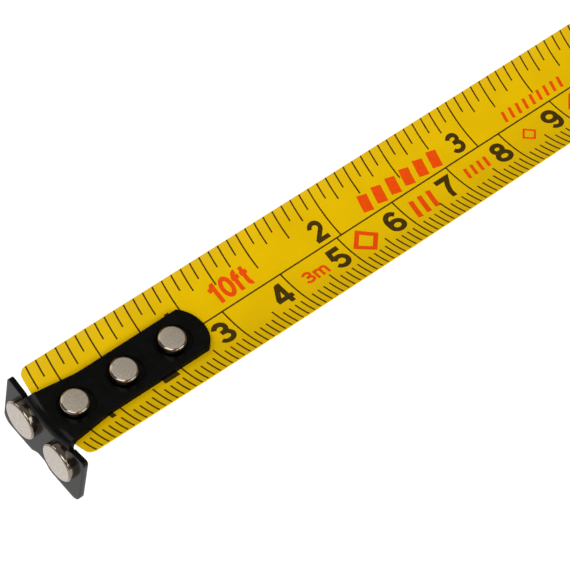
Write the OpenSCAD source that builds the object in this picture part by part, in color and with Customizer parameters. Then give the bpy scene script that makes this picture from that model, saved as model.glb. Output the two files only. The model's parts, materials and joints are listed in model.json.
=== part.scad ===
// Pocket tape measure with a riveted, magnetic end hook, drawn out and locked.
// Millimetres, +Z up. The origin is on the base, straight below the reel axis.
// The blade leaves the case towards -X.

/* [Blade] */
// Width of the steel tape, measured along its curve
blade_w = 16; // [13:1:19]
// Thickness of the painted steel tape
blade_t = 0.16; // [0.12:0.01:0.2]
// Radius of the cross curve that keeps the blade straight
blade_r = 13; // [12:0.5:16]
// Length of blade between the case mouth and the zero of the scale
blade_out = 120; // [110:5:160]
// Height of the blade's lowest line above the base
blade_z = 11; // [10.8:0.1:12]
// Distance from the scale's zero to the cut end of the blade
blade_start = 2.1; // [1.9:0.1:2.6]

/* [Hook] */
// Thickness of the steel that the hook is pressed from
hook_t = 0.75; // [0.6:0.05:0.9]
// Width of the face plate
face_w = 15.6; // [14:0.2:17]
// Height of the face plate's top above the blade's lowest line
face_top = 1; // [0.5:0.1:1.2]
// Depth of the face plate below the blade's lowest line
face_drop = 8.8; // [7:0.2:9]
// Half width of the plate where it is bent
neck_half = 4.55; // [4.3:0.05:4.8]
// Half width of the plate along the blade
plate_half = 3.7; // [3.4:0.1:4]
// Distance from the scale's zero to the round end of the plate
plate_end = 26.5; // [25:0.2:28]
// How far the hook slides on its rivets
hook_play = 0.8; // [0.6:0.1:1]
// Radius of a rivet head
rivet_head_r = 1.95; // [1.6:0.05:2]
// Distance between rivets
rivet_pitch = 7.9; // [7:0.1:8]
// Radius of a magnet
magnet_r = 2.8; // [2.4:0.1:3]
// Distance between the magnets' centres
magnet_pitch = 7.6; // [7:0.1:8]

/* [Case] */
// Distance from the reel axis to the mouth
mouth_x = 35; // [34:0.5:38]
// Distance from the reel axis to the back of the shells
back_x = 28.4; // [28:0.2:32]
// Height of the shells' top above the base
top_z = 61; // [60:0.5:64]
// Half the thickness of the closed shells
shell_half = 11.2; // [11:0.1:13]
// Wall of the shells
wall = 2.2; // [1.8:0.1:2.4]
// Thickness of the rubber jackets
grip_t = 1.6; // [1.2:0.1:1.8]
// Radius of the lanyard hole
lanyard_r = 2; // [1.5:0.1:2]

/* [Reel] */
// Outer radius of the wound blade
coil_r = 23.1; // [22:0.1:23.4]
// Outer radius of the drum
drum_r = 19; // [18:0.5:20]
// Radius of the fixed post
spindle_r = 3; // [2.5:0.1:3.5]

/* [Lock] */
// How far the lock slides
lock_travel = 6; // [4:0.5:6]
// Width of the thumb piece
lock_w = 12; // [10:0.5:14]

/* [Hidden] */
$fn = 64;
eps = 0.02;
// Through cuts run this far from the middle of the case
beyond = 20;

// Places that several pieces share
zero_x = -(mouth_x + blade_out);
reel_z = blade_z + blade_t + coil_r + 0.04;
blade_axis_z = blade_z + blade_r;
blade_inner_r = blade_r - blade_t;
band_start = plate_end + 0.15;
inner_half = shell_half - wall;

// Hook
hook_inner_x = 1.75;
hook_face_x = hook_inner_x - hook_t;
hook_gap = 0.03;
plate_outer_r = blade_inner_r - hook_gap;
plate_inner_r = plate_outer_r - hook_t;
rivet_x = 5.4;
rivet_r = 1;
rivet_head_h = 1.5;
rivet_foot_r = 1.7;
rivet_foot_h = 0.5;
seat_depth = 0.15;
seat_z = blade_axis_z - plate_inner_r - seat_depth;
magnet_z = blade_z - 3.2;

// Case: the straight front slope stands at this distance from the reel axis
slope_angle = 155;
slope_dist = 29;
inner_play = 0.3;
mouth_half = 8.1;
mouth_below = 1.1;
mouth_above = 4.1;
mouth_depth = 5;
bumper_size = [17, 8];
bumper_z = grip_t + 0.9;
bumper_sink = 0.6;
bumper_out = 2;
window_r = 19.5;
label_r = 17;
label_sink = 0.4;

// Jackets: how far they stop behind the lock's slope and behind the mouth, the radius of their
// lower front corner, and the finger grooves across the back
jacket_slope_gap = 7;
jacket_mouth_gap = 6;
jacket_corner = 4;
groove_w = 1.4;
groove_d = 0.7;
groove_pitch = 3.6;
groove_count = 8;
groove_z = 14;

// Lock, measured along the slope, downwards from the foot of the reel axis's normal
lock_neck_z = 4;
lock_neck_h = 3;
lock_neck_w = 3.2;
lock_neck_gap = 0.4;
slide_t = 1.8;
slide_dist = slope_dist - wall - inner_play - slide_t;
slide_top = -1;
slide_foot = 19;
foot_inner = 5.3;
foot_outer = 7.2;
leg_x = -32.3;
leg_t = 2.2;
leg_top = 28;
foot_gap = 0.06;

SCREWS = [[16.5, 7], [20.6, 52.3], [-16.5, 55.2], [-27.5, 6.5]];
screw_r = 1.1;
screw_head_r = 2.3;
screw_head_h = 1.6;
screw_seat = 8.4;
screw_tip = 7;
screw_hole_end = 8;
cross_depth = 0.75;
cross_w = 0.65;
boss_r = 2.5;
lanyard_at = [23.4, 7.4];
lanyard_wall = 1.4;
lanyard_gap = 0.1;

// A solid drawn in the XZ plane, from y0 to y1
module along_y(y0, y1) {
    translate([0, y1, 0]) rotate([90, 0, 0]) linear_extrude(y1 - y0) children();
}

// A solid drawn in the YZ plane, from x0 to x1
module along_x(x0, x1) {
    translate([x0, 0, 0]) rotate([90, 0, 90]) linear_extrude(x1 - x0) children();
}

// A cylinder along Y through [x, z], from y0 to y1
module rod_y(at, r, y0, y1) {
    translate([at[0], y1, at[1]]) rotate([90, 0, 0]) cylinder(h = y1 - y0, r = r);
}

// A cylinder along X through [y, z], from x0 to x1
module rod_x(at, r, x0, x1) {
    translate([x0, at[0], at[1]]) rotate([0, 90, 0]) cylinder(h = x1 - x0, r = r);
}

// Local +X is the slope's outward normal and local +Z runs down the slope
module on_slope() {
    translate([0, 0, reel_z]) rotate([0, -slope_angle, 0]) children();
}

module rounded(size, r) {
    square([size[0] - 2 * r, size[1]], center = true);
    square([size[0], size[1] - 2 * r], center = true);
    for (x = [-1, 1], y = [-1, 1])
        translate([x * (size[0] / 2 - r), y * (size[1] / 2 - r)]) circle(r);
}

// Side outline of the case, with flats whose outward normals are FLATS and round corners between.
// grow is the distance outside the shells' own outline.
FLATS = [-90, 0, 90, slope_angle, 180, 270];
CORNER_R = [7, 14, 8, 6, 5];
function slope_x(z, r) = (slope_dist - r - sin(slope_angle) * (z - reel_z)) / cos(slope_angle);
function slope_z(x, r) = reel_z + (slope_dist - r - cos(slope_angle) * x) / sin(slope_angle);
CORNERS = [
    [back_x - CORNER_R[0], grip_t + CORNER_R[0]],
    [back_x - CORNER_R[1], top_z - CORNER_R[1]],
    [slope_x(top_z - CORNER_R[2], CORNER_R[2]), top_z - CORNER_R[2]],
    [CORNER_R[3] - mouth_x, slope_z(CORNER_R[3] - mouth_x, CORNER_R[3])],
    [CORNER_R[4] - mouth_x, grip_t + CORNER_R[4]]
];

module outline(grow) {
    polygon([for (i = [0:4], side = [0, 1])
        CORNERS[i] + (CORNER_R[i] + grow) * [cos(FLATS[i + side]), sin(FLATS[i + side])]]);
    for (i = [0:4])
        translate(CORNERS[i]) circle(CORNER_R[i] + grow);
}

// Openings for the blade and the lock, cut through both shells
module front_openings() {
    translate([-mouth_x - 1, -mouth_half, blade_z - mouth_below])
        cube([1 + mouth_depth, 2 * mouth_half, mouth_below + mouth_above]);
    on_slope() translate([slope_dist - wall - 1, -lock_neck_w - lock_neck_gap / 2,
            lock_neck_z - lock_neck_h - lock_travel - lock_neck_gap])
        cube([wall + 2, 2 * lock_neck_w + lock_neck_gap,
            2 * (lock_neck_h + lock_neck_gap) + lock_travel]);
    translate([-mouth_x - 1, -bumper_size[0] / 2, bumper_z])
        cube([1 + bumper_sink, bumper_size[0], bumper_size[1]]);
}

// One shell, on the side that the sign names
module shell(side) {
    difference() {
        union() {
            difference() {
                along_y(min(0, side * shell_half), max(0, side * shell_half)) outline(0);
                along_y(min(-eps, side * inner_half), max(eps, side * inner_half))
                    outline(-wall);
            }
            for (at = SCREWS)
                rod_y(at, boss_r, min(0, side * inner_half), max(0, side * inner_half));
        }
        front_openings();
        for (at = SCREWS)
            rod_y(at, screw_r, -screw_seat, screw_hole_end);
    }
}

module case_left() {
    color("dimgray") difference() {
        shell(-1);
        rod_y([0, reel_z], screw_r + 0.2, -beyond, 0);
        for (at = SCREWS)
            rod_y(at, screw_head_r + 0.1, -beyond, -screw_seat);
        rod_y(lanyard_at, lanyard_r + lanyard_wall + lanyard_gap, -beyond, 1);
    }
}

module case_right() {
    color("dimgray") difference() {
        union() {
            shell(1);
            rod_y(lanyard_at, lanyard_r + lanyard_wall, -shell_half, shell_half);
        }
        rod_y(lanyard_at, lanyard_r, -beyond, beyond);
        rod_y([0, reel_z], label_r + 0.1, shell_half - label_sink, beyond);
    }
}

// What rounds off a square corner at the origin that points down and towards -X
module corner_cut(r) {
    difference() {
        translate([-1, -1]) square([r + 1, r + 1]);
        translate([r, r]) circle(r);
    }
}

// A rubber jacket: it wraps the edge and the side of one shell, leaves the nose and the lock
// free, and has a round window in its side and finger grooves across its back.
module jacket(side) {
    outer = shell_half + grip_t;
    front = jacket_mouth_gap - mouth_x;
    difference() {
        along_y(min(0, side * outer), max(0, side * outer)) outline(grip_t);
        along_y(min(-eps, side * shell_half), max(eps, side * shell_half)) outline(0);
        rod_y([0, reel_z], window_r, min(0, side * beyond), max(0, side * beyond));
        on_slope() translate([slope_dist - jacket_slope_gap, -beyond, -2 * beyond])
            cube([2 * beyond, 2 * beyond, 4 * beyond]);
        along_y(-beyond, beyond) {
            translate([front - beyond, -1]) square([beyond, reel_z]);
            translate([front, 0]) corner_cut(jacket_corner);
        }
        for (i = [0:groove_count - 1])
            translate([back_x + grip_t - groove_d, -beyond, groove_z + i * groove_pitch])
                cube([groove_d + 1, 2 * beyond, groove_w]);
        rod_y(lanyard_at, lanyard_r + lanyard_wall + lanyard_gap, -beyond, beyond);
    }
}

module grip_left() {
    color("black") difference() {
        jacket(-1);
        for (at = SCREWS)
            rod_y(at, screw_head_r + 0.3, -beyond, 0);
    }
}

module grip_right() {
    color("black") jacket(1);
}

// A cross recess in the head of a screw along Y, whose face is at y
module cross_recess(at, y, arm) {
    for (size = [[arm, cross_w], [cross_w, arm]])
        translate([at[0] - size[0] / 2, y - 1, at[1] - size[1] / 2])
            cube([size[0], 1 + cross_depth, size[1]]);
}

module case_screws() {
    head_face = -screw_seat - screw_head_h;
    color("silver") for (at = SCREWS) {
        difference() {
            rod_y(at, screw_head_r, head_face, -screw_seat);
            cross_recess(at, head_face, 3.2);
        }
        rod_y(at, screw_r, -screw_seat, screw_tip);
    }
}

module side_label() {
    color("lightgray") rod_y([0, reel_z], label_r, shell_half - label_sink,
        shell_half + 0.1);
}

// A bent strip of thickness t through points [y, z], mitred at the bends
function unit(v) = v / norm(v);
function across(v) = [-v[1], v[0]];
function mitre(points, i, t) =
    let (last = len(points) - 1,
        before = across(unit(points[max(i, 1)] - points[max(i, 1) - 1])),
        after = across(unit(points[min(i + 1, last)] - points[min(i, last - 1)])),
        m = unit(before + after))
    points[i] + m * t / 2 / (m * before);
module strip(points, t) {
    last = len(points) - 1;
    polygon(concat([for (i = [0:last]) mitre(points, i, t)],
        [for (i = [last:-1:0]) mitre(points, i, -t)]));
}

clip_t = 0.9;
clip_half = 7.5;
clip_out = shell_half + grip_t + 4.5 + clip_t / 2;
clip_in = shell_half + clip_t / 2;
driver_hole_r = 3.4;
CLIP = [[-clip_in, 27], [-clip_in, 49.4], [-clip_in - 1.2, 51.2], [-clip_out + 1.2, 51.6],
    [-clip_out, 50], [-clip_out, 15], [-clip_out + 2.2, 10], [-clip_out + 0.4, 5.5]];

module belt_clip() {
    color("silver") difference() {
        along_x(-clip_half, clip_half) strip(CLIP, clip_t);
        rod_y([0, reel_z], screw_r + 0.3, -beyond, 0);
        rod_y([0, reel_z], driver_hole_r, -beyond, -clip_in - 1);
        for (x = [-1, 1])
            translate([x * clip_half, -clip_out, 4.6]) rotate([90, 45, 0])
                cube([3.6, 3.6, 8], center = true);
    }
}

module clip_screw() {
    seat = -shell_half - clip_t;
    head_r = 2.9;
    head_h = 1.5;
    color("silver") {
        difference() {
            rod_y([0, reel_z], head_r, seat - head_h, seat);
            cross_recess([0, reel_z], seat - head_h, 4);
        }
        rod_y([0, reel_z], screw_r, seat, -2);
    }
}

module mouth_bumper() {
    color("black") along_x(-mouth_x - bumper_out, -mouth_x + bumper_sink)
        translate([0, bumper_z + bumper_size[1] / 2]) rounded(bumper_size, 1.2);
}

// The hard lip under the blade, hollowed to its curve, with a groove for the rivets' feet
module blade_guide() {
    color("dimgray") difference() {
        translate([-mouth_x + 1, -mouth_half + 0.2, blade_z - mouth_below])
            cube([5, 2 * mouth_half - 0.4, 3.2]);
        rod_x([0, blade_axis_z], blade_r + 0.08, -mouth_x - 1, -mouth_x + 8);
        translate([-mouth_x, -2.2, blade_z - 0.7]) cube([8, 4.4, 4]);
    }
}

module spindle() {
    color("gray") difference() {
        rod_y([0, reel_z], spindle_r, -inner_half, inner_half);
        rod_y([0, reel_z], screw_r, -10, -1.9);
        translate([-0.4, -7, reel_z + 1.3]) cube([0.8, 14, 3]);
    }
}

web_y = 8.4;
web_t = 1.2;
drum_wall = 2;
module reel_drum() {
    color("white") difference() {
        rod_y([0, reel_z], drum_r, -web_y, web_y);
        rod_y([0, reel_z], drum_r - drum_wall, -web_y + web_t, 10);
        rod_y([0, reel_z], spindle_r + 0.05, -10, 10);
        translate([-0.5, -6.8, reel_z - drum_r + 0.7]) cube([1, 13.6, 2]);
    }
}

module reel_cover() {
    color("white") difference() {
        rod_y([0, reel_z], drum_r - drum_wall - 0.05, web_y - web_t, web_y);
        rod_y([0, reel_z], spindle_r + 0.05, 0, 10);
        for (a = [0:60:300])
            translate([0, 0, reel_z]) rotate([0, a, 0]) rod_y([10, 0], 3, 0, 10);
    }
}

// Flat spiral spring, from the slot in the post to the notch in the drum
spring_t = 0.3;
spring_turns = 8.5;
spring_in = 3.7;
spring_out = 16.3;
spring_steps = 32;
function spring_point(i, off) =
    let (n = spring_turns * spring_steps, r = spring_in + (spring_out - spring_in) * i / n + off,
        a = 90 + 360 * i / spring_steps)
    [r * cos(a), r * sin(a)];
module mainspring() {
    last = spring_turns * spring_steps;
    inner_tab = [[spring_t, spring_in + spring_t], [spring_t, 1.6], [0, 1.6]];
    outer_tab = [[spring_t, -spring_out], [spring_t, -drum_r + 1], [0, -drum_r + 1]];
    color("steelblue") translate([0, 0, reel_z]) along_y(-6.5, 6.5)
        polygon(concat([for (i = [0:last]) spring_point(i, 0)], outer_tab,
            [for (i = [last:-1:0]) spring_point(i, spring_t)], inner_tab));
}

module blade_coil() {
    color("gold") difference() {
        rod_y([0, reel_z], coil_r, -blade_w / 2, blade_w / 2);
        rod_y([0, reel_z], drum_r, -10, 10);
    }
}

// A strip of blade from x0 to x1, curved across, between the radii r0 and r1
module curved_strip(x0, x1, r0, r1, half_w) {
    a = half_w / blade_r * 180 / PI;
    translate([x0, 0, blade_axis_z]) rotate([0, 90, 0]) rotate([0, 0, -a])
        rotate_extrude(angle = 2 * a) translate([r0, 0]) square([r1 - r0, x1 - x0]);
}

module blade_end() {
    color("gold") difference() {
        intersection() {
            curved_strip(zero_x + blade_start, zero_x + band_start, blade_inner_r, blade_r,
                blade_w / 2);
            translate([0, 0, blade_z - 1]) linear_extrude(5) union() {
                translate([zero_x + blade_start, -blade_w / 2 + 1.2])
                    square([40, blade_w - 2.4]);
                translate([zero_x + blade_start + 0.8, -blade_w / 2]) square([40, blade_w]);
            }
        }
        for (i = [0:2])
            translate([zero_x + rivet_x + i * rivet_pitch, 0, blade_z - 1])
                cylinder(h = 3, r = rivet_r + eps);
    }
}

// Straight run of blade: one ring of points across the strip at each station of
// [x, share of the cross curve]. The curve fades inside the case, where the blade meets the coil.
fade_x = -mouth_x + 8;
FADE = [0.9, 0.7, 0.5, 0.3, 0.1];
STATIONS = concat([[zero_x + band_start, 1], [fade_x, 1]],
    [for (i = [0:4]) [fade_x + (i + 1) * -fade_x / 6, FADE[i]]], [[0, 0.01]]);
cross_steps = 20;
function cross_point(x, share, u, off) =
    let (r = blade_r / share, a = u / r * 180 / PI, rr = r - off)
    [x, rr * sin(a), blade_z + r - rr * cos(a)];
module blade_band() {
    n = cross_steps + 1;
    ring = 2 * n;
    us = [for (i = [0:cross_steps]) blade_w * (i / cross_steps - 0.5)];
    points = [for (s = STATIONS) each concat(
        [for (u = us) cross_point(s[0], s[1], u, 0)],
        [for (i = [cross_steps:-1:0]) cross_point(s[0], s[1], us[i], blade_t)])];
    last = (len(STATIONS) - 1) * ring;
    sides = [for (s = [0:len(STATIONS) - 2], i = [0:ring - 1], half = [0, 1])
        let (a = s * ring + i, b = s * ring + (i + 1) % ring)
        half == 0 ? [a, b, b + ring] : [a, b + ring, a + ring]];
    ends = [for (i = [0:n - 2], half = [0, 1])
        let (j = ring - 1 - i)
        each half == 0 ? [[i, j, i + 1], [last + i, last + i + 1, last + j]]
            : [[i + 1, j, j - 1], [last + i + 1, last + j - 1, last + j]]];
    color("gold") polyhedron(points, concat(sides, ends));
}

// Plan of the part of the hook that lies on the blade
module plate_plan() {
    end_r = 4.6;
    taper_end = 8.4;
    sweep = asin(plate_half / end_r);
    round_end = [for (i = [-8:8]) [plate_end - end_r + end_r * cos(i * sweep / 8),
        -end_r * sin(i * sweep / 8)]];
    polygon(concat([[hook_face_x, neck_half], [hook_inner_x + 0.6, neck_half],
        [taper_end, plate_half]], round_end, [[taper_end, -plate_half],
        [hook_inner_x + 0.6, -neck_half], [hook_face_x, -neck_half]]));
}

// Face plate, with a shallow notch in the middle of its lower edge
module face_outline() {
    corner = 1.5;
    difference() {
        translate([0, blade_z + (face_top - face_drop) / 2])
            rounded([face_w, face_top + face_drop], corner);
        translate([0, blade_z - face_drop]) polygon([[-1.9, -1], [-1.9, 0], [-0.8, 0.85],
            [0.8, 0.85], [1.9, 0], [1.9, -1]]);
    }
    intersection() {
        translate([-neck_half, blade_z]) square([2 * neck_half, 4]);
        difference() {
            translate([0, blade_axis_z]) square([20, 40], center = true);
            translate([0, blade_axis_z]) circle(plate_inner_r);
        }
    }
}

// A round-ended slot that lets the hook slide past a rivet
module play_slot(r, z0, z1) {
    for (x = [0, hook_play])
        translate([x, 0, z0]) cylinder(h = z1 - z0, r = r);
    translate([0, -r, z0]) cube([hook_play, 2 * r, z1 - z0]);
}

module hook() {
    color([0.12, 0.12, 0.13]) translate([zero_x, 0, 0]) difference() {
        union() {
            intersection() {
                curved_strip(hook_face_x, plate_end, plate_inner_r, plate_outer_r, 6);
                translate([0, 0, blade_z - 1]) linear_extrude(6) plate_plan();
            }
            along_x(hook_face_x, hook_inner_x) face_outline();
        }
        for (i = [0:2])
            translate([rivet_x + i * rivet_pitch, 0, 0]) {
                play_slot(rivet_r + 0.06, blade_z - 1, blade_z + 4);
                play_slot(rivet_head_r + 0.2, seat_z, blade_z + 4);
            }
        for (side = [-1, 1])
            rod_x([side * magnet_pitch / 2, magnet_z], 1.2, 0, 4);
    }
}

module rivet() {
    edge = 0.35;
    translate([0, 0, blade_z - rivet_foot_h]) cylinder(h = rivet_foot_h, r = rivet_foot_r);
    translate([0, 0, blade_z - eps]) cylinder(h = seat_z - blade_z + 2 * eps, r = rivet_r);
    translate([0, 0, seat_z + eps]) rotate_extrude() {
        square([rivet_head_r, rivet_head_h - edge]);
        square([rivet_head_r - edge, rivet_head_h]);
        translate([rivet_head_r - edge, rivet_head_h - edge]) circle(edge);
    }
}

module hook_rivets() {
    color("silver") for (i = [0:2])
        translate([zero_x + rivet_x + i * rivet_pitch, 0, 0]) rivet();
}

module magnet() {
    edge = 0.3;
    rotate([0, -90, 0]) rotate_extrude() {
        square([magnet_r, hook_face_x - edge]);
        square([magnet_r - edge, hook_face_x]);
        translate([magnet_r - edge, hook_face_x - edge]) circle(edge);
    }
    rotate([0, 90, 0]) cylinder(h = hook_t, r = 1.2);
}

module hook_magnets() {
    color("silver") for (side = [-1, 1])
        translate([zero_x + hook_face_x, side * magnet_pitch / 2, magnet_z]) magnet();
}

module lock_button() {
    half = 7;
    height = 4;
    color("orangered") on_slope() {
        difference() {
            translate([slope_dist + inner_play, 0, lock_neck_z]) rotate([90, 0, 90])
                linear_extrude(height) rounded([lock_w, 2 * half], 2);
            for (i = [-2:2])
                translate([slope_dist + inner_play + height, -10, lock_neck_z + i * 2.2])
                    rotate([-90, 0, 0]) cylinder(h = 20, r = 0.6);
        }
        translate([slide_dist + slide_t, -lock_neck_w, lock_neck_z - lock_neck_h])
            cube([wall + 2 * inner_play, 2 * lock_neck_w, 2 * lock_neck_h]);
    }
}

// Inner slide of the lock: a plate along the slope, and two legs that straddle the hook plate
// and press on the blade near its edges.
module lock_slide() {
    color("dimgray") {
        on_slope() translate([slide_dist, -foot_outer, slide_top])
            cube([slide_t, 2 * foot_outer, slide_foot - slide_top]);
        intersection() {
            for (side = [0, 1]) mirror([0, side, 0])
                translate([leg_x, foot_inner, blade_z])
                    cube([leg_t, foot_outer - foot_inner, leg_top - blade_z]);
            union() {
                rod_x([0, blade_axis_z], blade_inner_r - foot_gap, -40, 0);
                translate([-40, -10, blade_axis_z]) cube([40, 20, 20]);
            }
        }
    }
}

// Detent leaf on the slide, facing the reel
module lock_spring() {
    color("silver") on_slope() translate([slide_dist - 0.3, -2, slide_top + 2]) {
        cube([0.3, 4, 12]);
    }
}

case_left();
case_right();
grip_left();
grip_right();
case_screws();
side_label();
belt_clip();
clip_screw();
mouth_bumper();
blade_guide();
spindle();
reel_drum();
reel_cover();
mainspring();
blade_coil();
blade_band();
blade_end();
hook();
hook_rivets();
hook_magnets();
lock_button();
lock_slide();
lock_spring();
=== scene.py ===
"""Pocket tape measure with a riveted, magnetic hook.

Metres, in the CAD frame: the blade leaves the case towards -X.
"""

import json
import math

import bmesh
import bpy
from mathutils import Matrix, Vector
from mathutils.geometry import convex_hull_2d

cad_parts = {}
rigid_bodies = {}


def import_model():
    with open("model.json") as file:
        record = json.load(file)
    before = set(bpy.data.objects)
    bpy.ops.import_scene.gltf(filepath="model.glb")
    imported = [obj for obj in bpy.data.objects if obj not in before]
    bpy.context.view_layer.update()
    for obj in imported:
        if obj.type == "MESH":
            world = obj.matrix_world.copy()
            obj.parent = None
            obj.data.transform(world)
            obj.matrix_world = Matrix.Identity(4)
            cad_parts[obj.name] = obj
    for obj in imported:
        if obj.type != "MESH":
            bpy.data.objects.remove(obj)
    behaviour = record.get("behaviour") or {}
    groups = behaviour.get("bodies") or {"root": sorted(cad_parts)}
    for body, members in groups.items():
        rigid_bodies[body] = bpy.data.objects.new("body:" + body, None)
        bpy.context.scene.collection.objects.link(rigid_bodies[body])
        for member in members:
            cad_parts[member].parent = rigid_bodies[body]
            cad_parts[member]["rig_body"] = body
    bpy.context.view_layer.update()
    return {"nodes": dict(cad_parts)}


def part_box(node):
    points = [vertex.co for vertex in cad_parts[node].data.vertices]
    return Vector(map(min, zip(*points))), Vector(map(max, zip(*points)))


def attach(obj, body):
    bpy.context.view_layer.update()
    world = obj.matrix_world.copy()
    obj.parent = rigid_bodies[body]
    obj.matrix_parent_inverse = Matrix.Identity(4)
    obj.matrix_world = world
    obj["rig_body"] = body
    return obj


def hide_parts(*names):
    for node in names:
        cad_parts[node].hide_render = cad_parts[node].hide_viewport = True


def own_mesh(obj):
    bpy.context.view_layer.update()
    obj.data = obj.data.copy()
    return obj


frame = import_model()
MM = 0.001

# ---- Sizes from the frame -------------------------------------------------------------------
end_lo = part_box("blade_end")[0]
band_lo, band_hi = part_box("blade_band")
hook_lo, hook_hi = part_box("hook")
magnet_lo, magnet_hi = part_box("hook_magnets")
rivet_lo, rivet_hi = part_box("hook_rivets")
shell_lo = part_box("case_right")[0]

ZERO_X = magnet_lo.x  # the scale's zero is at the magnets' faces
BLADE_T = 0.16 * MM
BLADE_TOP = end_lo.z + BLADE_T  # lowest line of the printed face
BLADE_HALF = 8 * MM  # half the blade's width, along its curve
START = end_lo.x - ZERO_X  # places along the blade, from the zero: its cut end,
SEAM = band_lo.x - ZERO_X  # where its two lengths meet,
MOUTH = shell_lo.x - ZERO_X  # and the front of the case
PRINT_MID = 0.21 * MM  # the print stands this far towards the inch edge
PLATE_MID = 0.04 * MM  # and the hook's plate and its face this far
FACE_MID = 0.3 * MM
CM = 10 * MM
INCH = 25.4 * MM

# Cross curve of the blade: curvature in 1/m at a distance from the zero. Its cup opens
# from the riveted end, closes a little towards the case, and lies flat on the reel.
CURVE_AT_ZERO = 89.85
CURVE_SLOPE = -753.35
CURVE_BEND = 5910.6
CURVE_HELD_FROM = 105 * MM
CURVE_LEAST = 0.02  # share of the curve that is left on the reel
FLAT_RUN = 27 * MM


def curvature(x):
    """Curvature across the blade, in 1/m, at x from the zero."""
    held = min(x, CURVE_HELD_FROM)
    k = CURVE_AT_ZERO + CURVE_SLOPE * held + CURVE_BEND * held * held
    to_reel = (-ZERO_X - x) / FLAT_RUN
    return k * min(1, max(CURVE_LEAST, to_reel))


def on_blade(x, u, h=0.0):
    """Point at x from the zero, u across the blade along its curve, and h above its printed face."""
    k = curvature(x)
    a = k * u
    r = 1 / k
    return Vector((ZERO_X + x, (r - h) * math.sin(a), BLADE_TOP + r - (r - h) * math.cos(a)))


# ---- Materials ------------------------------------------------------------------------------
def srgb(r, g, b):
    """Linear colour from 0-255 display values."""
    def one(c):
        c /= 255
        return c / 12.92 if c <= 0.04045 else ((c + 0.055) / 1.055) ** 2.4
    return one(r), one(g), one(b), 1


NOISE_LOW = 0.3  # a noise texture mostly stays between these values
NOISE_HIGH = 0.7
PATCHES = 2.3  # the rough patches are finer than the grain by this factor
BUMP_DEPTH = 0.05 * MM


class Surface:
    """A procedural material: two close colours mixed by grain, rough patches, and a fine bump."""

    def __init__(self, name, dark, light, grain, rough, bump, bump_scale, stretch=(1, 1, 1)):
        self.material = bpy.data.materials.new(name)
        self.material.use_nodes = True
        self.nodes = self.material.node_tree.nodes
        self.links = self.material.node_tree.links
        self.shader = self.nodes["Principled BSDF"]
        coordinates = self.nodes.new("ShaderNodeTexCoord")
        mapping = self.nodes.new("ShaderNodeMapping")
        mapping.inputs["Scale"].default_value = stretch
        self.links.new(coordinates.outputs["Object"], mapping.inputs["Vector"])
        self.place = mapping.outputs["Vector"]
        self.mix(dark, light, grain)
        self.roughen(rough, grain)
        self.bumps(bump, bump_scale)
        self.material.diffuse_color = light

    def noise(self, scale, detail=4):
        node = self.nodes.new("ShaderNodeTexNoise")
        node.inputs["Scale"].default_value = scale
        node.inputs["Detail"].default_value = detail
        self.links.new(self.place, node.inputs["Vector"])
        return node.outputs["Fac"]

    def mix(self, dark, light, grain):
        ramp = self.nodes.new("ShaderNodeValToRGB")
        ramp.color_ramp.elements[0].position = NOISE_LOW
        ramp.color_ramp.elements[0].color = dark
        ramp.color_ramp.elements[1].position = NOISE_HIGH
        ramp.color_ramp.elements[1].color = light
        self.links.new(self.noise(grain), ramp.inputs["Fac"])
        self.links.new(ramp.outputs["Color"], self.shader.inputs["Base Color"])

    def roughen(self, rough, grain):
        limits = self.nodes.new("ShaderNodeMapRange")
        limits.inputs["From Min"].default_value = NOISE_LOW
        limits.inputs["From Max"].default_value = NOISE_HIGH
        limits.inputs["To Min"].default_value = rough[0]
        limits.inputs["To Max"].default_value = rough[1]
        self.links.new(self.noise(grain * PATCHES), limits.inputs["Value"])
        self.links.new(limits.outputs["Result"], self.shader.inputs["Roughness"])

    def bumps(self, strength, scale):
        bump = self.nodes.new("ShaderNodeBump")
        bump.inputs["Strength"].default_value = strength
        bump.inputs["Distance"].default_value = BUMP_DEPTH
        self.links.new(self.noise(scale, detail=6), bump.inputs["Height"])
        self.links.new(bump.outputs["Normal"], self.shader.inputs["Normal"])

    def set(self, **values):
        """Sets shader inputs by name, with _ for a space, and returns the material."""
        for name, value in values.items():
            self.shader.inputs[name.replace("_", " ")].default_value = value
        return self.material


def lacquer_yellow():
    made = Surface("lacquer_yellow", srgb(223, 181, 0), srgb(230, 188, 0), 160,
                   (0.3, 0.4), 0.05, 1500)
    return made.set(Specular_IOR_Level=0.06)


def scale_ink():
    made = Surface("scale_ink", srgb(58, 42, 2), srgb(74, 55, 3), 2500, (0.45, 0.6), 0.1, 6000)
    return made.set(Specular_IOR_Level=0.1)


def orange_ink():
    made = Surface("orange_ink", srgb(228, 70, 0), srgb(236, 82, 0), 2500, (0.45, 0.6), 0.1, 6000)
    return made.set(Specular_IOR_Level=0.1)


def black_enamel():
    made = Surface("black_enamel", srgb(7, 7, 6), srgb(13, 13, 12), 900,
                   (0.15, 0.25), 0.12, 2600)
    return made.set(Specular_IOR_Level=0.08)


def speckled_nickel():
    made = Surface("speckled_nickel", srgb(220, 205, 182), srgb(246, 233, 213), 4200,
                   (0.3, 0.5), 0.5, 5200)
    return made.set(Metallic=1.0)


# Nickel for the magnets' faces, darker than the rivets' nickel: the darkening is painted shade that dims the
# lamps' reflection in them.
def satin_nickel():
    made = Surface("satin_nickel", srgb(172, 163, 153), srgb(192, 183, 172), 2400,
                   (0.3, 0.42), 0.25, 3600)
    return made.set(Metallic=1.0)


# Polished side walls of the nickel heads: the low roughness is real, but the darker colour is painted shade
# standing in for the dark room they reflect.
def polished_nickel():
    made = Surface("polished_nickel", srgb(122, 110, 98), srgb(148, 136, 123), 2600,
                   (0.08, 0.16), 0.12, 3000)
    return made.set(Metallic=1.0)


def bright_steel():
    made = Surface("bright_steel", srgb(170, 170, 168), srgb(205, 205, 202), 900,
                   (0.22, 0.38), 0.3, 1400, (1, 1, 12))
    return made.set(Metallic=1.0)


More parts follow.
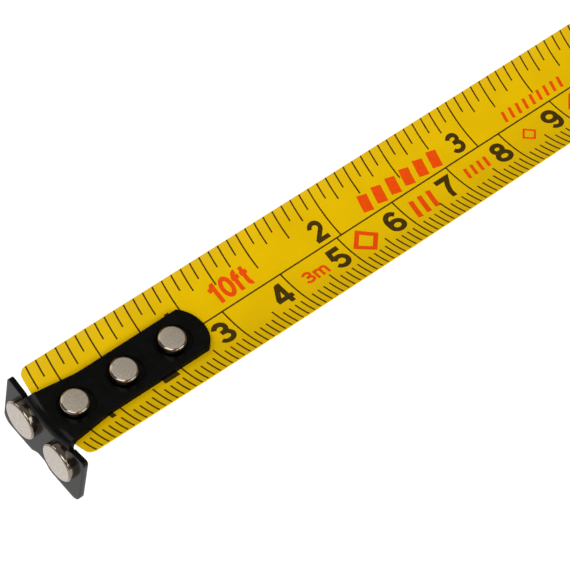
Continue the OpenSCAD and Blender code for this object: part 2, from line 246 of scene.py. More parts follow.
def screw_steel():
    made = Surface("screw_steel", srgb(120, 120, 120), srgb(160, 160, 158), 2000,
                   (0.3, 0.45), 0.3, 3500)
    return made.set(Metallic=1.0)


def spring_steel():
    made = Surface("spring_steel", srgb(70, 78, 92), srgb(105, 112, 124), 700,
                   (0.25, 0.4), 0.2, 2500, (1, 8, 1))
    return made.set(Metallic=1.0)


def shell_plastic():
    made = Surface("shell_plastic", srgb(52, 54, 57), srgb(62, 64, 67), 500,
                   (0.42, 0.55), 0.6, 3200)
    return made.set(Specular_IOR_Level=0.45)


def grip_rubber():
    made = Surface("grip_rubber", srgb(20, 20, 21), srgb(31, 31, 32), 700,
                   (0.66, 0.82), 0.9, 2400)
    return made.set(Specular_IOR_Level=0.35, Sheen_Weight=0.15)


def lock_plastic():
    made = Surface("lock_plastic", srgb(200, 52, 12), srgb(214, 62, 16), 500,
                   (0.38, 0.5), 0.5, 3200)
    return made.set(Specular_IOR_Level=0.45)


def spool_plastic():
    made = Surface("spool_plastic", srgb(206, 205, 198), srgb(222, 221, 215), 400,
                   (0.4, 0.55), 0.4, 2200)
    return made.set(Specular_IOR_Level=0.45)


def silver_label():
    made = Surface("silver_label", srgb(172, 174, 176), srgb(196, 198, 200), 1200,
                   (0.28, 0.4), 0.25, 1800, (14, 1, 1))
    return made.set(Metallic=0.75)


SURFACES = {
    "blade": lacquer_yellow(),
    "ink": scale_ink(),
    "orange": orange_ink(),
    "hook": black_enamel(),
    "nickel": speckled_nickel(),
    "magnet": satin_nickel(),
    "polished_shaded": polished_nickel(),
    "clip": bright_steel(),
    "screw": screw_steel(),
    "spring": spring_steel(),
    "shell": shell_plastic(),
    "rubber": grip_rubber(),
    "lock": lock_plastic(),
    "spool": spool_plastic(),
    "label": silver_label(),
}


# ---- Mesh helpers ---------------------------------------------------------------------------
def new_piece(name, points, faces, surface, slot, smooth_below=40):
    """An object from points and faces, with smooth shading across edges under an angle in degrees."""
    mesh = bpy.data.meshes.new(name)
    mesh.from_pydata([tuple(p) for p in points], [], faces)
    mesh.validate()
    piece = bpy.data.objects.new(name, mesh)
    bpy.context.scene.collection.objects.link(piece)
    finish_mesh(piece, surface, smooth_below)
    return piece


def finish_mesh(piece, surface, smooth_below=40):
    """Turns the faces outwards, shades them smooth below an angle, and gives the piece its material."""
    mesh = piece.data
    work = bmesh.new()
    work.from_mesh(mesh)
    bmesh.ops.recalc_face_normals(work, faces=work.faces)
    work.to_mesh(mesh)
    work.free()
    mesh.materials.clear()
    mesh.materials.append(SURFACES[surface])
    for face in mesh.polygons:
        face.use_smooth = True
    mesh.set_sharp_from_angle(angle=math.radians(smooth_below))


def apply_modifiers(piece):
    """Gives the piece the mesh that its modifiers make, and removes them."""
    graph = bpy.context.evaluated_depsgraph_get()
    mesh = bpy.data.meshes.new_from_object(piece.evaluated_get(graph))
    piece.modifiers.clear()
    piece.data = mesh


def round_edges(piece, radius, turn):
    """Adds rounding for the edges that turn by more than some degrees."""
    soft = piece.modifiers.new("rounded edges", "BEVEL")
    soft.width = radius
    soft.segments = 3
    soft.limit_method = "ANGLE"
    soft.angle_limit = math.radians(turn)


def loft(rings, closed=False):
    """Points and faces of a solid through equal rings of points, with flat ends."""
    size = len(rings[0])
    points = [p for ring in rings for p in ring]
    faces = []
    for i in range(len(rings) if closed else len(rings) - 1):
        a = i * size
        b = (i + 1) % len(rings) * size
        for j in range(size):
            k = (j + 1) % size
            faces.append((a + j, a + k, b + k, b + j))
    if not closed:
        faces.append(tuple(range(size)))
        faces.append(tuple(range(len(points) - size, len(points)))[::-1])
    return points, faces


def spread(lo, hi, count):
    """Even values from lo to hi, with count steps between them."""
    return [lo + (hi - lo) * i / count for i in range(count + 1)]


def with_band(piece):
    """The straight run of blade stays with the case: the piece rides on the case's body, with a mesh of its
    own.
    """
    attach(piece, "case")
    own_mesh(piece)


# ---- Blade ----------------------------------------------------------------------------------
ACROSS = 28  # steps across the blade's width
END_STEPS = 24  # and along its two lengths
BAND_STEPS = 150
CORNER = 1.1 * MM


def blade_ring(x, half):
    """Outline of the blade's section at x from the zero."""
    us = spread(-half, half, ACROSS)
    top = [on_blade(x, u) for u in us]
    return top + [on_blade(x, u, -BLADE_T) for u in reversed(us)]


def corner_half(x):
    """Half width of the blade near its cut end, whose corners are round."""
    left = max(0, CORNER - (x - START))
    return BLADE_HALF - CORNER + math.sqrt(CORNER ** 2 - left ** 2)


def blade_pieces():
    corner = [START + CORNER * (1 - math.cos(math.radians(a))) for a in range(0, 91, 10)]
    xs = corner + spread(START + CORNER, SEAM, END_STEPS)[1:]
    end = new_piece("blade_end_strip", *loft([blade_ring(x, corner_half(x)) for x in xs]),
                    "blade", "blade_paint", smooth_below=60)
    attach(end, "blade")
    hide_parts("blade_end")
    xs = spread(SEAM, -ZERO_X, BAND_STEPS)
    band = new_piece("blade_band_strip", *loft([blade_ring(x, BLADE_HALF) for x in xs]),
                     "blade", "blade_paint", smooth_below=60)
    with_band(band)
    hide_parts("blade_band")


# ---- Print ----------------------------------------------------------------------------------
INK_UP = 0.012 * MM  # the ink stands this proud of the blade,
INK_DOWN = 0.02 * MM  # and its underside is this deep inside it
LINE_W = 0.23 * MM
MIDDLE_LINE_W = 0.22 * MM
STEP = 0.4 * MM  # points this near each other keep a line on the curved blade
MITRE_LEAST = 0.7  # keeps a mitre short where a path turns sharply
ARC_STEP = 12  # degrees


class Print:
    """Marks of one colour on one length of blade, gathered into one piece."""

    def __init__(self, name, surface):
        self.name = name
        self.surface = surface
        self.points = []
        self.faces = []

    def stroke(self, path, width=LINE_W, closed=False):
        """An inked line along a path of (x, u) points, with mitred corners."""
        path = resample(path, closed)
        count = len(path)
        rings = []
        for i, (x, u) in enumerate(path):
            back = path[i - 1] if closed or i else path[0]
            ahead = path[(i + 1) % count] if closed or i < count - 1 else path[-1]
            sx, su = mitre(back, (x, u), ahead)
            w = width / 2
            rings.append([
                on_blade(x + sx * w, u + su * w, INK_UP), on_blade(x - sx * w, u - su * w, INK_UP),
                on_blade(x - sx * w, u - su * w, -INK_DOWN), on_blade(x + sx * w, u + su * w, -INK_DOWN),
            ])
        points, faces = loft(rings, closed)
        base = len(self.points)
        self.points += points
        self.faces += [tuple(base + i for i in face) for face in faces]

    def build(self, on_end):
        """Makes the piece, which rides on the blade's end or stays with the straight run on the case."""
        piece = new_piece(self.name, self.points, self.faces, self.surface, "blade_paint")
        if on_end:
            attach(piece, "blade")
        else:
            with_band(piece)


def resample(path, closed):
    """The same path with points at most STEP apart."""
    ends = path[1:] + path[:1] if closed else path[1:]
    out = []
    for a, b in zip(path, ends):
        count = math.ceil(math.dist(a, b) / STEP)
        out += [(a[0] + (b[0] - a[0]) * i / count, a[1] + (b[1] - a[1]) * i / count)
                for i in range(count)]
    return out if closed else out + [path[-1]]


def mitre(back, here, ahead):
    """Sideways vector at a point of a path, longer where the path turns."""
    def side(a, b):
        d = math.dist(a, b)
        return ((a[1] - b[1]) / d, (b[0] - a[0]) / d) if d > 0 else None
    first = side(back, here)
    second = side(here, ahead)
    first = first or second
    second = second or first
    sx, su = first[0] + second[0], first[1] + second[1]
    scale = 2 / max(MITRE_LEAST, sx * sx + su * su)
    return sx * scale, su * scale


def arc(cx, cy, rx, ry, start, stop):
    """Points of an ellipse's arc from one angle to another, in degrees."""
    count = max(2, round(abs(stop - start) / ARC_STEP))
    angles = [math.radians(a) for a in spread(start, stop, count)]
    return [(cx + rx * math.cos(a), cy + ry * math.sin(a)) for a in angles]


def oval(cx, cy, rx, ry):
    """Points of a whole ellipse, which ends one step short of its first point."""
    return arc(cx, cy, rx, ry, 0, 360 - ARC_STEP)


# Bold letters as centrelines in a cell that is CELL wide and 1 high, for a pen PEN wide
PEN = 0.205
CELL = 0.74
ENDS_MEET = 0.12  # a path whose ends come this near is a closed loop
SIX = [
    oval(0.375, 0.32, 0.245, 0.225),
    arc(0.39, 0.555, 0.26, 0.35, 38, 180) + [(0.13, 0.32)],
]
GLYPHS = {
    "0": [oval(0.37, 0.5, 0.25, 0.405)],
    "1": [[(0.5, 0), (0.5, 1)], [(0.19, 0.715), (0.36, 0.75), (0.5, 0.93)]],
    "2": [arc(0.365, 0.675, 0.235, 0.23, 172, -35) + [(0.17, 0.15)], [(0.06, 0.1), (0.69, 0.1)]],
    "3": [arc(0.355, 0.715, 0.215, 0.19, 165, -90) + [(0.27, 0.525)],
          [(0.27, 0.525)] + arc(0.355, 0.31, 0.25, 0.215, 90, -165)],
    "4": [[(0.50, 0), (0.50, 1)], [(0.45, 0.93), (0.10, 0.33)], [(0.02, 0.29), (0.70, 0.29)]],
    "5": [[(0.63, 0.905), (0.2, 0.905), (0.145, 0.5)],
          arc(0.36, 0.335, 0.25, 0.24, 145, -160)],
    "6": SIX,
    "7": [[(0.06, 0.905), (0.60, 0.905), (0.40, 0.58), (0.29, 0.3), (0.26, 0)]],
    "8": [oval(0.37, 0.725, 0.2, 0.18), oval(0.37, 0.305, 0.25, 0.21)],
    "9": [[(CELL - x, 1 - y) for x, y in path] for path in SIX],
    "f": [[(0.2, 0)] + arc(0.37, 0.76, 0.17, 0.145, 180, 85), [(0.03, 0.66), (0.44, 0.66)]],
    "t": [[(0.2, 0.96)] + arc(0.35, 0.22, 0.15, 0.13, 180, 275), [(0.03, 0.66), (0.42, 0.66)]],
    "m": [[(0.1, 0), (0.1, 0.75)], arc(0.28, 0.5, 0.18, 0.165, 160, 0) + [(0.46, 0)],
          arc(0.64, 0.5, 0.18, 0.165, 160, 0) + [(0.82, 0)]],
    " ": [],
}
WIDTHS = {"f": 0.5, "t": 0.52, "m": 0.95, " ": 0.2}


def write(ink, text, left, base, height, narrow=1.0):
    """Writes text from its left edge, on a baseline, in the direction of the case."""
    pen_x = left
    for letter in text:
        for path in GLYPHS[letter]:
            placed = [(pen_x + x * height * narrow, base + y * height) for x, y in path]
            ink.stroke(placed, PEN * height, math.dist(path[0], path[-1]) < ENDS_MEET)
        pen_x += WIDTHS.get(letter, CELL) * height * narrow


def write_centred(ink, text, middle, base, height, narrow=1.0):
    """Writes text with its width centred on a place along the blade."""
    width = sum(WIDTHS.get(letter, CELL) for letter in text) * height * narrow
    write(ink, text, middle - width / 2, base, height, narrow)


# Where each kind of line ends, across the blade, by how many steps of the scale it comes after
EDGE = BLADE_HALF - 0.02 * MM
FAR_ENDS = {16: PRINT_MID, 8: 2.54 * MM, 4: 3.7 * MM, 2: 4.65 * MM, 1: 5.58 * MM}
NEAR_ENDS = {10: PRINT_MID, 5: -3.9 * MM, 1: -5.05 * MM}


def line_end(count, ends):
    """Where the line at a count ends: the longest kind whose step divides the count."""
    return next(ends[step] for step in ends if count % step == 0)


def scale_lines(ink, start, stop):
    """Sixteenths of an inch on the far edge, millimetres on the near edge, and the line between."""
    sixteenth = INCH / 16
    for n in range(math.ceil(start / sixteenth), math.ceil(stop / sixteenth)):
        ink.stroke([(n * sixteenth, EDGE), (n * sixteenth, line_end(n, FAR_ENDS))])
    for n in range(math.ceil(start / MM), math.ceil(stop / MM)):
        ink.stroke([(n * MM, -EDGE), (n * MM, line_end(n, NEAR_ENDS))])
    ink.stroke([(start, PRINT_MID), (stop, PRINT_MID)], MIDDLE_LINE_W)


INCH_BASE = 0.85 * MM
INCH_HIGH = 3.2 * MM
INCH_BACK = 2.35 * MM  # from a line back to the middle of its numeral
CM_BASE = -4.33 * MM
CM_HIGH = 3.62 * MM
CM_BACK = 2 * MM
CM_BACK_TWO = 2.9 * MM  # where the numeral has two digits
WIDE = 1.06
NARROW = 0.8


def scale_numbers(ink, start, stop):
    """Inches and centimetres whose numerals lie between start and stop."""
    for n in range(1, math.ceil(stop / INCH) + 1):
        middle = n * INCH - INCH_BACK
        if start < middle < stop:
            write_centred(ink, str(n), middle, INCH_BASE, INCH_HIGH, WIDE)
    for n in range(1, math.ceil(stop / CM) + 1):
        middle = n * CM - (CM_BACK if n < 10 else CM_BACK_TWO)
        if start < middle < stop:
            write_centred(ink, str(n), middle, CM_BASE, CM_HIGH, WIDE if n < 10 else NARROW)


# Orange print, in mm: the blade's length in both units, and plain bars and diamonds where
# a maker prints a name and approval marks
LENGTHS = [("10ft", 29.7, 1.15, 3.1, 0.92), ("3m", 41.75, -3.5, 2.0, 1.22)]  # left, base, height, width
BAR_ROWS = [  # left, base, height, count, pitch, width
    (56.5, 0.9, 2.5, 6, 2.55, 1.6),
    (61.4, -4.2, 3.0, 3, 1.55, 0.75),
    (71.5, -3.3, 1.8, 4, 1.2, 0.5),
    (82.5, 0.95, 1.65, 9, 1.35, 0.5),
]
DIAMONDS = [(52.8, -2.55, 1.8, 0.65), (83.5, -2.45, 1.1, 0.3), (93.2, -2.55, 1.7, 0.6)]  # x, u, half, width
BAR_LEAN = 0.25
FIRST_LINE = 0.3 * MM  # the lines start this far from the blade's cut end,
LINES_INSIDE = 4 * MM  # and end this far inside the case


def orange_marks(ink):
    for text, left, base, height, narrow in LENGTHS:
        write(ink, text, left * MM, base * MM, height * MM, narrow)
    for left, base, height, count, pitch, width in BAR_ROWS:
        for i in range(count):
            foot = left + i * pitch
            head = foot + BAR_LEAN * height
            ink.stroke([(foot * MM, base * MM), (head * MM, (base + height) * MM)], width * MM)
    for x, u, half, width in DIAMONDS:
        corners = [(x - half, u), (x, u + half), (x + half, u), (x, u - half)]
        ink.stroke([(a * MM, b * MM) for a, b in corners], width * MM, closed=True)


def print_pieces():
    end_lines = Print("scale_lines_end", "ink")
    scale_lines(end_lines, START + FIRST_LINE, SEAM)
    scale_numbers(end_lines, START, SEAM)
    end_lines.build(on_end=True)
    band_lines = Print("scale_lines_band", "ink")
    scale_lines(band_lines, SEAM, MOUTH + LINES_INSIDE)
    scale_numbers(band_lines, SEAM, MOUTH)
    band_lines.build(on_end=False)
    marks = Print("orange_marks_band", "orange")
    orange_marks(marks)
    marks.build(on_end=False)


# ---- Hook -----------------------------------------------------------------------------------
HOOK_T = 0.75 * MM
HOOK_GAP = 0.03 * MM  # between the plate and the blade under it
FACE_BACK = hook_lo.x + HOOK_T - ZERO_X
FACE_FRONT = hook_lo.x - ZERO_X
FACE_HALF = (hook_hi.y - hook_lo.y) / 2
FACE_BOTTOM = hook_lo.z
BEND_R = 0.65 * MM  # inside of the bend
NECK_HALF = 4.55 * MM  # half the width at the bend,
PLATE_HALF = 3.7 * MM  # and from the end of the taper to the round end
PLATE_END = hook_hi.x - ZERO_X
END_R = 4.6 * MM
TAPER_END = 8.4 * MM  # from the zero
FACE_CORNER = 1.5 * MM
NOTCH_H = 0.85 * MM  # the shallow notch in the face's lower edge
NOTCH_HALF = 1.9 * MM
NOTCH_SLOPE = 1.1 * MM
HOOK_EDGE_R = 0.16 * MM
HOOK_TOP = HOOK_GAP + HOOK_T
HOOK_COLUMNS = 40
PLATE_ROWS = 60
ARCHED_ROWS = 8  # the rows next to the plate's round end


def plate_half(x):
    """Half width of the plate, which tapers away from the bend."""
    share = min(1, max(0, (x - FACE_BACK) / (TAPER_END - FACE_BACK)))
    return NECK_HALF + (PLATE_HALF - NECK_HALF) * share


def arc_height(u):
    """Height of the plate's end arc at u from the middle."""
    return math.sqrt(END_R ** 2 - u ** 2)


def plate_row(x, arched):
    """One row of the plate's upper surface; the last rows arch to the round end."""
    half = plate_half(x)
    row = []
    for v in spread(-1, 1, HOOK_COLUMNS):
        u = v * half
        bulge = arched * (arc_height(u) - arc_height(half)) if arched else 0
        row.append(on_blade(x + bulge, u + PLATE_MID, HOOK_TOP))
    return row


def bend_row(turn):
    """One row of the outside of the bend, turned through some degrees towards the face."""
    a = math.radians(turn)
    out = BEND_R + HOOK_T
    x = FACE_BACK + BEND_R - out * math.sin(a)
    h = HOOK_GAP - BEND_R + out * math.cos(a)
    row = []
    for v in spread(-1, 1, HOOK_COLUMNS):
        p = on_blade(FACE_BACK, v * NECK_HALF + PLATE_MID, h)
        row.append(Vector((ZERO_X + x, p.y, p.z)))
    return row


def face_bottom(y):
    """Height of the face's lower edge: round corners, and a shallow notch in the middle."""
    past = abs(y) - (FACE_HALF - FACE_CORNER)
    corner = FACE_CORNER - math.sqrt(max(0, FACE_CORNER ** 2 - max(0, past) ** 2))
    notch = NOTCH_H * min(1, max(0, (NOTCH_HALF - abs(y)) / NOTCH_SLOPE))
    return FACE_BOTTOM + corner + notch


# Rows that fan out from the bend over the lobes: share of the lobe's width, height of the
# outline over the blade's lowest line, and drop of the row's middle below the bend, in mm
FAN = [(0.05, 0.35, 0.3), (0.13, 0.6, 0.6), (0.4, 0.7, 0.9), (0.66, 0.86, 1.15),
       (0.84, 0.96, 1.35), (0.93, 0.89, 1.5), (0.98, 0.72, 1.65), (1, 0.45, 1.85)]
FACE_ROWS = 14


def face_rows():
    """Rows of the face's front, fanning out from the bend over the two lobes and then down."""
    neck = bend_row(90)
    neck_half = (neck[-1].y - neck[0].y) / 2
    neck_mid = (neck[-1].y + neck[0].y) / 2
    bend_z = neck[HOOK_COLUMNS // 2].z
    rows = []
    for out, outline, drop in FAN:
        half = neck_half + (FACE_HALF - neck_half) * out
        mid = neck_mid + (FACE_MID - neck_mid) * out
        low = bend_z - drop * MM
        high = BLADE_TOP + outline * MM
        rows.append([on_face(mid + v * half, low + (high - low) * v ** 4)
                     for v in spread(-1, 1, HOOK_COLUMNS)])
    # The last outline is as wide as the face, and the rows below it start there
    for share in spread(0, 1, FACE_ROWS)[1:]:
        row = []
        for v in spread(-1, 1, HOOK_COLUMNS):
            start = low + (high - low) * v ** 4
            # Columns crowd towards the edges, so that the corners come out round
            y = FACE_HALF * (math.sin(v * math.pi / 2) * share + v * (1 - share))
            row.append(on_face(FACE_MID + y, start + (face_bottom(y) - start) * share))
        rows.append(row)
    return rows


def on_face(y, z):
    """Point on the front of the face plate."""
    return Vector((ZERO_X + FACE_FRONT, y, z))


RIVET_R = (rivet_hi.y - rivet_lo.y) / 2
RIVETS = 3
RIVET_PITCH = (rivet_hi.x - rivet_lo.x - 2 * RIVET_R) / (RIVETS - 1)
SEAT_R = RIVET_R + 0.2 * MM  # the recess that a rivet's head slides in
SEAT_DEPTH = 0.28 * MM
SEAT_RIM = 0.12 * MM
HOOK_PLAY = 0.8 * MM
CUTTER_OVER = 0.01 * MM  # the cutter's rim starts this far over the plate
CUTTER_TOP = 2 * MM


def rivet_places():
    """The rivets' distances from the zero."""
    return [rivet_lo.x - ZERO_X + RIVET_R + i * RIVET_PITCH for i in range(RIVETS)]


def slot_ring(centre, radius):
    """Outline of a round-ended slot that reaches further towards the case by the hook's play."""
    outline = []
    for turn in range(0, 360, 9):
        a = math.radians(turn)
        play = HOOK_PLAY if math.cos(a) > 0 else 0
        outline.append(centre + Vector((play + radius * math.cos(a), radius * math.sin(a), 0)))
    return outline


def seat_cutter(x):
    """A slot with a bevelled rim: the recess that a rivet head slides in."""
    centre = on_blade(x, PLATE_MID, HOOK_TOP)
    up = blade_normal(x)
    profile = [(SEAT_R, -SEAT_DEPTH), (SEAT_R, -SEAT_RIM),
               (SEAT_R + SEAT_RIM, CUTTER_OVER), (SEAT_R + SEAT_RIM, CUTTER_TOP)]
    rings = [slot_ring(centre + up * height, radius) for radius, height in profile]
    return new_piece(f"cutter_{x:.4f}", *loft(rings), "hook", "hook_paint")


def blade_normal(x):
    """Outward direction at the middle of the blade's printed face."""
    return (on_blade(x, PLATE_MID, MM) - on_blade(x, PLATE_MID)).normalized()


def combine(piece, others, operation, solver):
    """Cuts a piece with others, or keeps what it has in common with them, and removes them."""
    for other in others:
        step = piece.modifiers.new("combine", "BOOLEAN")
        step.operation = operation
        step.solver = solver
        step.object = other
    apply_modifiers(piece)
    for other in others:
        bpy.data.objects.remove(other)


def hook_piece():
    """The whole pressing: a sheet of rows from the plate's round end to the face's lower edge."""
    straight = PLATE_END - (END_R - math.sqrt(END_R ** 2 - PLATE_HALF ** 2))
    xs = spread(straight, FACE_BACK + BEND_R, PLATE_ROWS)
    rows = [plate_row(x, max(0, 1 - i / ARCHED_ROWS)) for i, x in enumerate(xs)]
    rows += [bend_row(turn) for turn in range(10, 91, 10)]
    rows += face_rows()
    size = HOOK_COLUMNS + 1
    faces = [(i * size + j, i * size + j + 1, (i + 1) * size + j + 1, (i + 1) * size + j)
             for i in range(len(rows) - 1) for j in range(HOOK_COLUMNS)]
    hook = new_piece("hook_pressed", [p for row in rows for p in row], faces, "hook", "hook_paint")
    face_up(hook)
    thick = hook.modifiers.new("thickness", "SOLIDIFY")
    thick.thickness = HOOK_T
    thick.offset = -1
    round_edges(hook, HOOK_EDGE_R, 50)
    apply_modifiers(hook)
    combine(hook, [seat_cutter(x) for x in rivet_places()], "DIFFERENCE", "EXACT")
    finish_mesh(hook, "hook", smooth_below=35)
    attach(hook, "end_hook")
    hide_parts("hook")


def face_up(piece):
    """Makes the single sheet's normals point up and out of the front before it gets its thickness."""
    mesh = piece.data
    if mesh.polygons[0].normal.z < 0:
        mesh.flip_normals()


def lathe(name, profile, place, surface, slot, turns=64):
    """A turned piece: profile is (radius, height) from the axis at the top down to the axis below."""
    rings = []
    for r, h in profile[1:-1]:
        rings.append([place @ Vector((r * math.cos(a), r * math.sin(a), h))
                      for a in (2 * math.pi * i / turns for i in range(turns))])
    points = [p for ring in rings for p in ring]
    faces = []
    for i in range(len(rings) - 1):
        for j in range(turns):
            k = (j + 1) % turns
            faces.append((i * turns + j, i * turns + k, (i + 1) * turns + k, (i + 1) * turns + j))
    top, bottom = len(points), len(points) + 1
    points += [place @ Vector((0, 0, profile[0][1])), place @ Vector((0, 0, profile[-1][1]))]
    last = (len(rings) - 1) * turns
    for j in range(turns):
        k = (j + 1) % turns
        faces.append((top, j, k))
        faces.append((bottom, last + k, last + j))
    return new_piece(name, points, faces, surface, slot, smooth_below=32)


def button_profile(radius, height, edge, dome, foot):
    """Profile of a low round head: a hardly domed top, a rolled edge, a straight wall."""
    flat = radius - edge
    top = [(flat * s, height - dome * s * s) for s in (0, 0.25, 0.5, 0.75, 0.92)]
    roll = [(flat + edge * math.sin(math.radians(a)), height - dome - edge * (1 - math.cos(math.radians(a))))
            for a in range(0, 91, 15)]
    return top + roll + [(radius, foot), (0, foot)]


FRONT_COSINE = 0.98  # a face whose normal is nearer the front than this counts as front


def polish_sides(piece, front):
    """Gives every face that doesn't point to the front the polished surface, whose darker colour is painted
    shade for the side walls' dark reflections.
    """
    piece.data.materials.append(SURFACES["polished_shaded"])
    for face in piece.data.polygons:
        if face.normal.dot(front) < FRONT_COSINE:
            face.material_index = 1


def rivet_pieces():
    head = rivet_hi.z - BLADE_TOP - (HOOK_TOP - SEAT_DEPTH)
    for i, x in enumerate(rivet_places()):
        up = blade_normal(x)
        place = Matrix.Translation(on_blade(x, PLATE_MID, HOOK_TOP - SEAT_DEPTH))
        place = place @ up.to_track_quat("Z", "X").to_matrix().to_4x4()
        profile = button_profile(RIVET_R, head, edge=0.42 * MM, dome=0.05 * MM,
                                 foot=SEAT_DEPTH - HOOK_TOP)
        piece = lathe(f"rivet_{i + 1}", profile, place, "nickel", "nickel")
        polish_sides(piece, up)
        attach(piece, "blade")
        if i == 0:
            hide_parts("hook_rivets")


def magnet_pieces():
    radius = (magnet_hi.z - magnet_lo.z) / 2
    height = (magnet_lo.z + magnet_hi.z) / 2
    apart = magnet_hi.y - radius
    for name, side in (("far", 1), ("near", -1)):
        place = Matrix.Translation((ZERO_X + FACE_FRONT, side * apart + FACE_MID, height))
        place = place @ Matrix.Rotation(math.radians(-90), 4, "Y")
        profile = button_profile(radius, FACE_FRONT, edge=0.3 * MM, dome=0.03 * MM, foot=-HOOK_T)
        piece = lathe(f"magnet_{name}", profile, place, "magnet", "nickel", turns=80)
        polish_sides(piece, Vector((-1, 0, 0)))
        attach(piece, "end_hook")
        if side > 0:
            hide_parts("hook_magnets")


# ---- Case -----------------------------------------------------------------------------------
SAME_POINT = 0.001 * MM
FLAT_WITHIN = 0.6  # degrees
STOCK_OVER = 0.02 * MM  # the stock stands this proud, so that no faces coincide


def weld(mesh):
    """Joins a mesh's coinciding points, and its triangles into flat faces."""
    work = bmesh.new()
    work.from_mesh(mesh)
    bmesh.ops.remove_doubles(work, verts=work.verts, dist=SAME_POINT)
    bmesh.ops.dissolve_limit(work, angle_limit=math.radians(FLAT_WITHIN),
                             verts=work.verts, edges=work.edges)
    work.to_mesh(mesh)
    work.free()


def rounded_stock(mesh, side, rim):
    """A block with a mesh's side outline, rounded where it meets its +Y or -Y face."""
    flat = [(vert.co.x, vert.co.z) for vert in mesh.vertices]
    hull = [Vector(flat[i]) for i in convex_hull_2d(flat)]
    middle = sum(hull, Vector((0, 0))) / len(hull)
    outer = max(side * vert.co.y for vert in mesh.vertices) + STOCK_OVER
    inner = min(side * vert.co.y for vert in mesh.vertices) - STOCK_OVER
    rings = [(inner, 0)]
    for turn in range(0, 91, 15):
        a = math.radians(turn)
        rings.append((outer - rim + rim * math.sin(a), rim * (1 - math.cos(a))))
    outlines = []
    for y, inset in rings:
        grown = STOCK_OVER - inset
        ring = []
        for i, here in enumerate(hull):
            out = (here - hull[i - 1]).orthogonal().normalized()
            out += (hull[(i + 1) % len(hull)] - here).orthogonal().normalized()
            out *= 2 / out.length_squared
            if out.dot(here - middle) < 0:
                out = -out
            ring.append((here.x + out.x * grown, side * y, here.y + out.y * grown))
        outlines.append(ring)
    return new_piece("stock", *loft(outlines), "shell", "shell")


def softened(node, surface, slot, radius, rim=0.0):
    """A piece in the shape of a CAD node, with its outline rounded by rim and other edges by radius."""
    source = frame["nodes"][node]
    piece = bpy.data.objects.new(f"{node}_moulded", source.data.copy())
    bpy.context.scene.collection.objects.link(piece)
    weld(piece.data)
    if rim:
        side = -1 if node.endswith("left") else 1
        combine(piece, [rounded_stock(piece.data, side, rim)], "INTERSECT", "MANIFOLD")
        weld(piece.data)
    round_edges(piece, radius, 40)
    apply_modifiers(piece)
    finish_mesh(piece, surface, smooth_below=30)
    even = piece.modifiers.new("even shading", "WEIGHTED_NORMAL")
    even.weight = 100
    even.keep_sharp = True
    apply_modifiers(piece)
    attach(piece, source["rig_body"])
    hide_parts(node)


# Surface, slot, radius of the edges, and radius of the side outline where it has its own
SOFTENED = {
    "case_left": ("shell", "shell", 0.25 * MM, 1.0 * MM),
    "case_right": ("shell", "shell", 0.25 * MM, 1.0 * MM),
    "grip_left": ("rubber", "grip_rubber", 0.3 * MM, 1.3 * MM),
    "grip_right": ("rubber", "grip_rubber", 0.3 * MM, 1.3 * MM),
    "mouth_bumper": ("rubber", "grip_rubber", 0.35 * MM),
    "belt_clip": ("clip", "clip_steel", 0.2 * MM),
    "lock_button": ("lock", "lock_plastic", 0.4 * MM),
    "case_screws": ("screw", "screw_steel", 0.15 * MM),
    "clip_screw": ("screw", "screw_steel", 0.15 * MM),
    "side_label": ("label", "label", 0.1 * MM),
}
KEPT = {  # nodes that keep their CAD mesh
    "blade_guide": "shell",
    "spindle": "spool",
    "reel_drum": "spool",
    "reel_cover": "spool",
    "mainspring": "spring",
    "blade_coil": "blade",
    "lock_slide": "shell",
    "lock_spring": "spring",
}


def case_pieces():
    for node, finish in SOFTENED.items():
        softened(node, *finish)
    for node, surface in KEPT.items():
        mesh = frame["nodes"][node].data
        mesh.materials.clear()
        mesh.materials.append(SURFACES[surface])


# ---- Studio ---------------------------------------------------------------------------------
# The photograph's view: direction in degrees, aimed at a point on the blade near its fourth centimetre.
AZIMUTH = -51.97
ELEVATION = 55.95
ROLL = 13.73
AIM = (39.42 * MM, -1.45 * MM)
DISTANCE = 343.6 * MM
LENS = 165.1  # for a sensor SENSOR wide, both in mm
SENSOR = 36


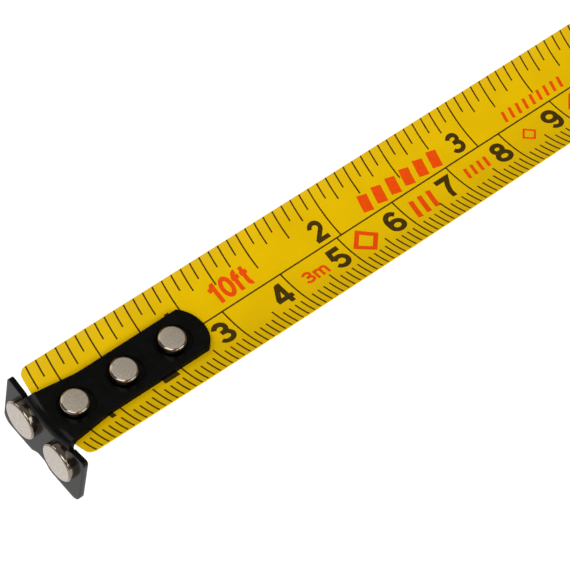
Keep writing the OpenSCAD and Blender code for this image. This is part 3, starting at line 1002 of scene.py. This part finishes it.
def camera():
    a = math.radians(AZIMUTH)
    e = math.radians(ELEVATION)
    back = Vector((math.sin(a) * math.cos(e), -math.cos(a) * math.cos(e), math.sin(e)))
    data = bpy.data.cameras.new("photo_camera")
    data.lens = LENS
    data.sensor_width = SENSOR
    data.clip_start = 0.01
    made = bpy.data.objects.new("photo_camera", data)
    target = Vector((ZERO_X + AIM[0], AIM[1], BLADE_TOP))
    turn = back.to_track_quat("Z", "Y").to_matrix().to_4x4()
    made.matrix_world = (Matrix.Translation(target + back * DISTANCE) @ turn
                         @ Matrix.Rotation(math.radians(ROLL), 4, "Z"))
    bpy.context.scene.collection.objects.link(made)
    bpy.context.scene.camera = made


def floor():
    size = 3.0
    mesh = bpy.data.meshes.new("floor")
    mesh.from_pydata([(-size, -size, 0), (size, -size, 0), (size, size, 0), (-size, size, 0)],
                     [], [(0, 1, 2, 3)])
    made = bpy.data.objects.new("floor", mesh)
    bpy.context.scene.collection.objects.link(made)
    material = bpy.data.materials.new("lit_table")
    material.use_nodes = True
    shader = material.node_tree.nodes["Principled BSDF"]
    shader.inputs["Base Color"].default_value = (0.2, 0.2, 0.2, 1)
    shader.inputs["Roughness"].default_value = 0.6
    shader.inputs["Specular IOR Level"].default_value = 0.1
    shader.inputs["Emission Color"].default_value = (1, 1, 1, 1)
    shader.inputs["Emission Strength"].default_value = 0.97
    mesh.materials.append(material)


def softbox(name, place, size, power):
    """A square soft light that faces the frame's origin."""
    data = bpy.data.lights.new(name, "AREA")
    data.shape = "SQUARE"
    data.size = size
    data.energy = power
    made = bpy.data.objects.new(name, data)
    made.location = place
    made.rotation_euler = Vector(place).to_track_quat("Z", "Y").to_euler()
    bpy.context.scene.collection.objects.link(made)


SOFTBOXES = {  # place, side and power
    "key_light": ((-0.9, -0.5, 1.5), 1.1, 17),
    "fill_light": ((0.6, -1.2, 1.0), 1.0, 8),
    "back_light": ((-0.5, 1.5, 1.0), 1.0, 7),
    "left_glint": ((-1.5, -0.1, 0.75), 0.25, 1.0),
    "right_glint": ((-0.2, -1.5, 0.75), 0.28, 1.6),
}


def lights():
    world = bpy.data.worlds.new("studio")
    bpy.context.scene.world = world
    world.use_nodes = True
    background = world.node_tree.nodes["Background"]
    background.inputs["Color"].default_value = (1, 1, 1, 1)
    background.inputs["Strength"].default_value = 0.27
    for name, (place, size, power) in SOFTBOXES.items():
        softbox(name, place, size, power)
    bpy.context.scene.view_settings.view_transform = "Standard"


# ---- Making it ------------------------------------------------------------------------------
blade_pieces()
print_pieces()
hook_piece()
rivet_pieces()
magnet_pieces()
case_pieces()
floor()
lights()
camera()
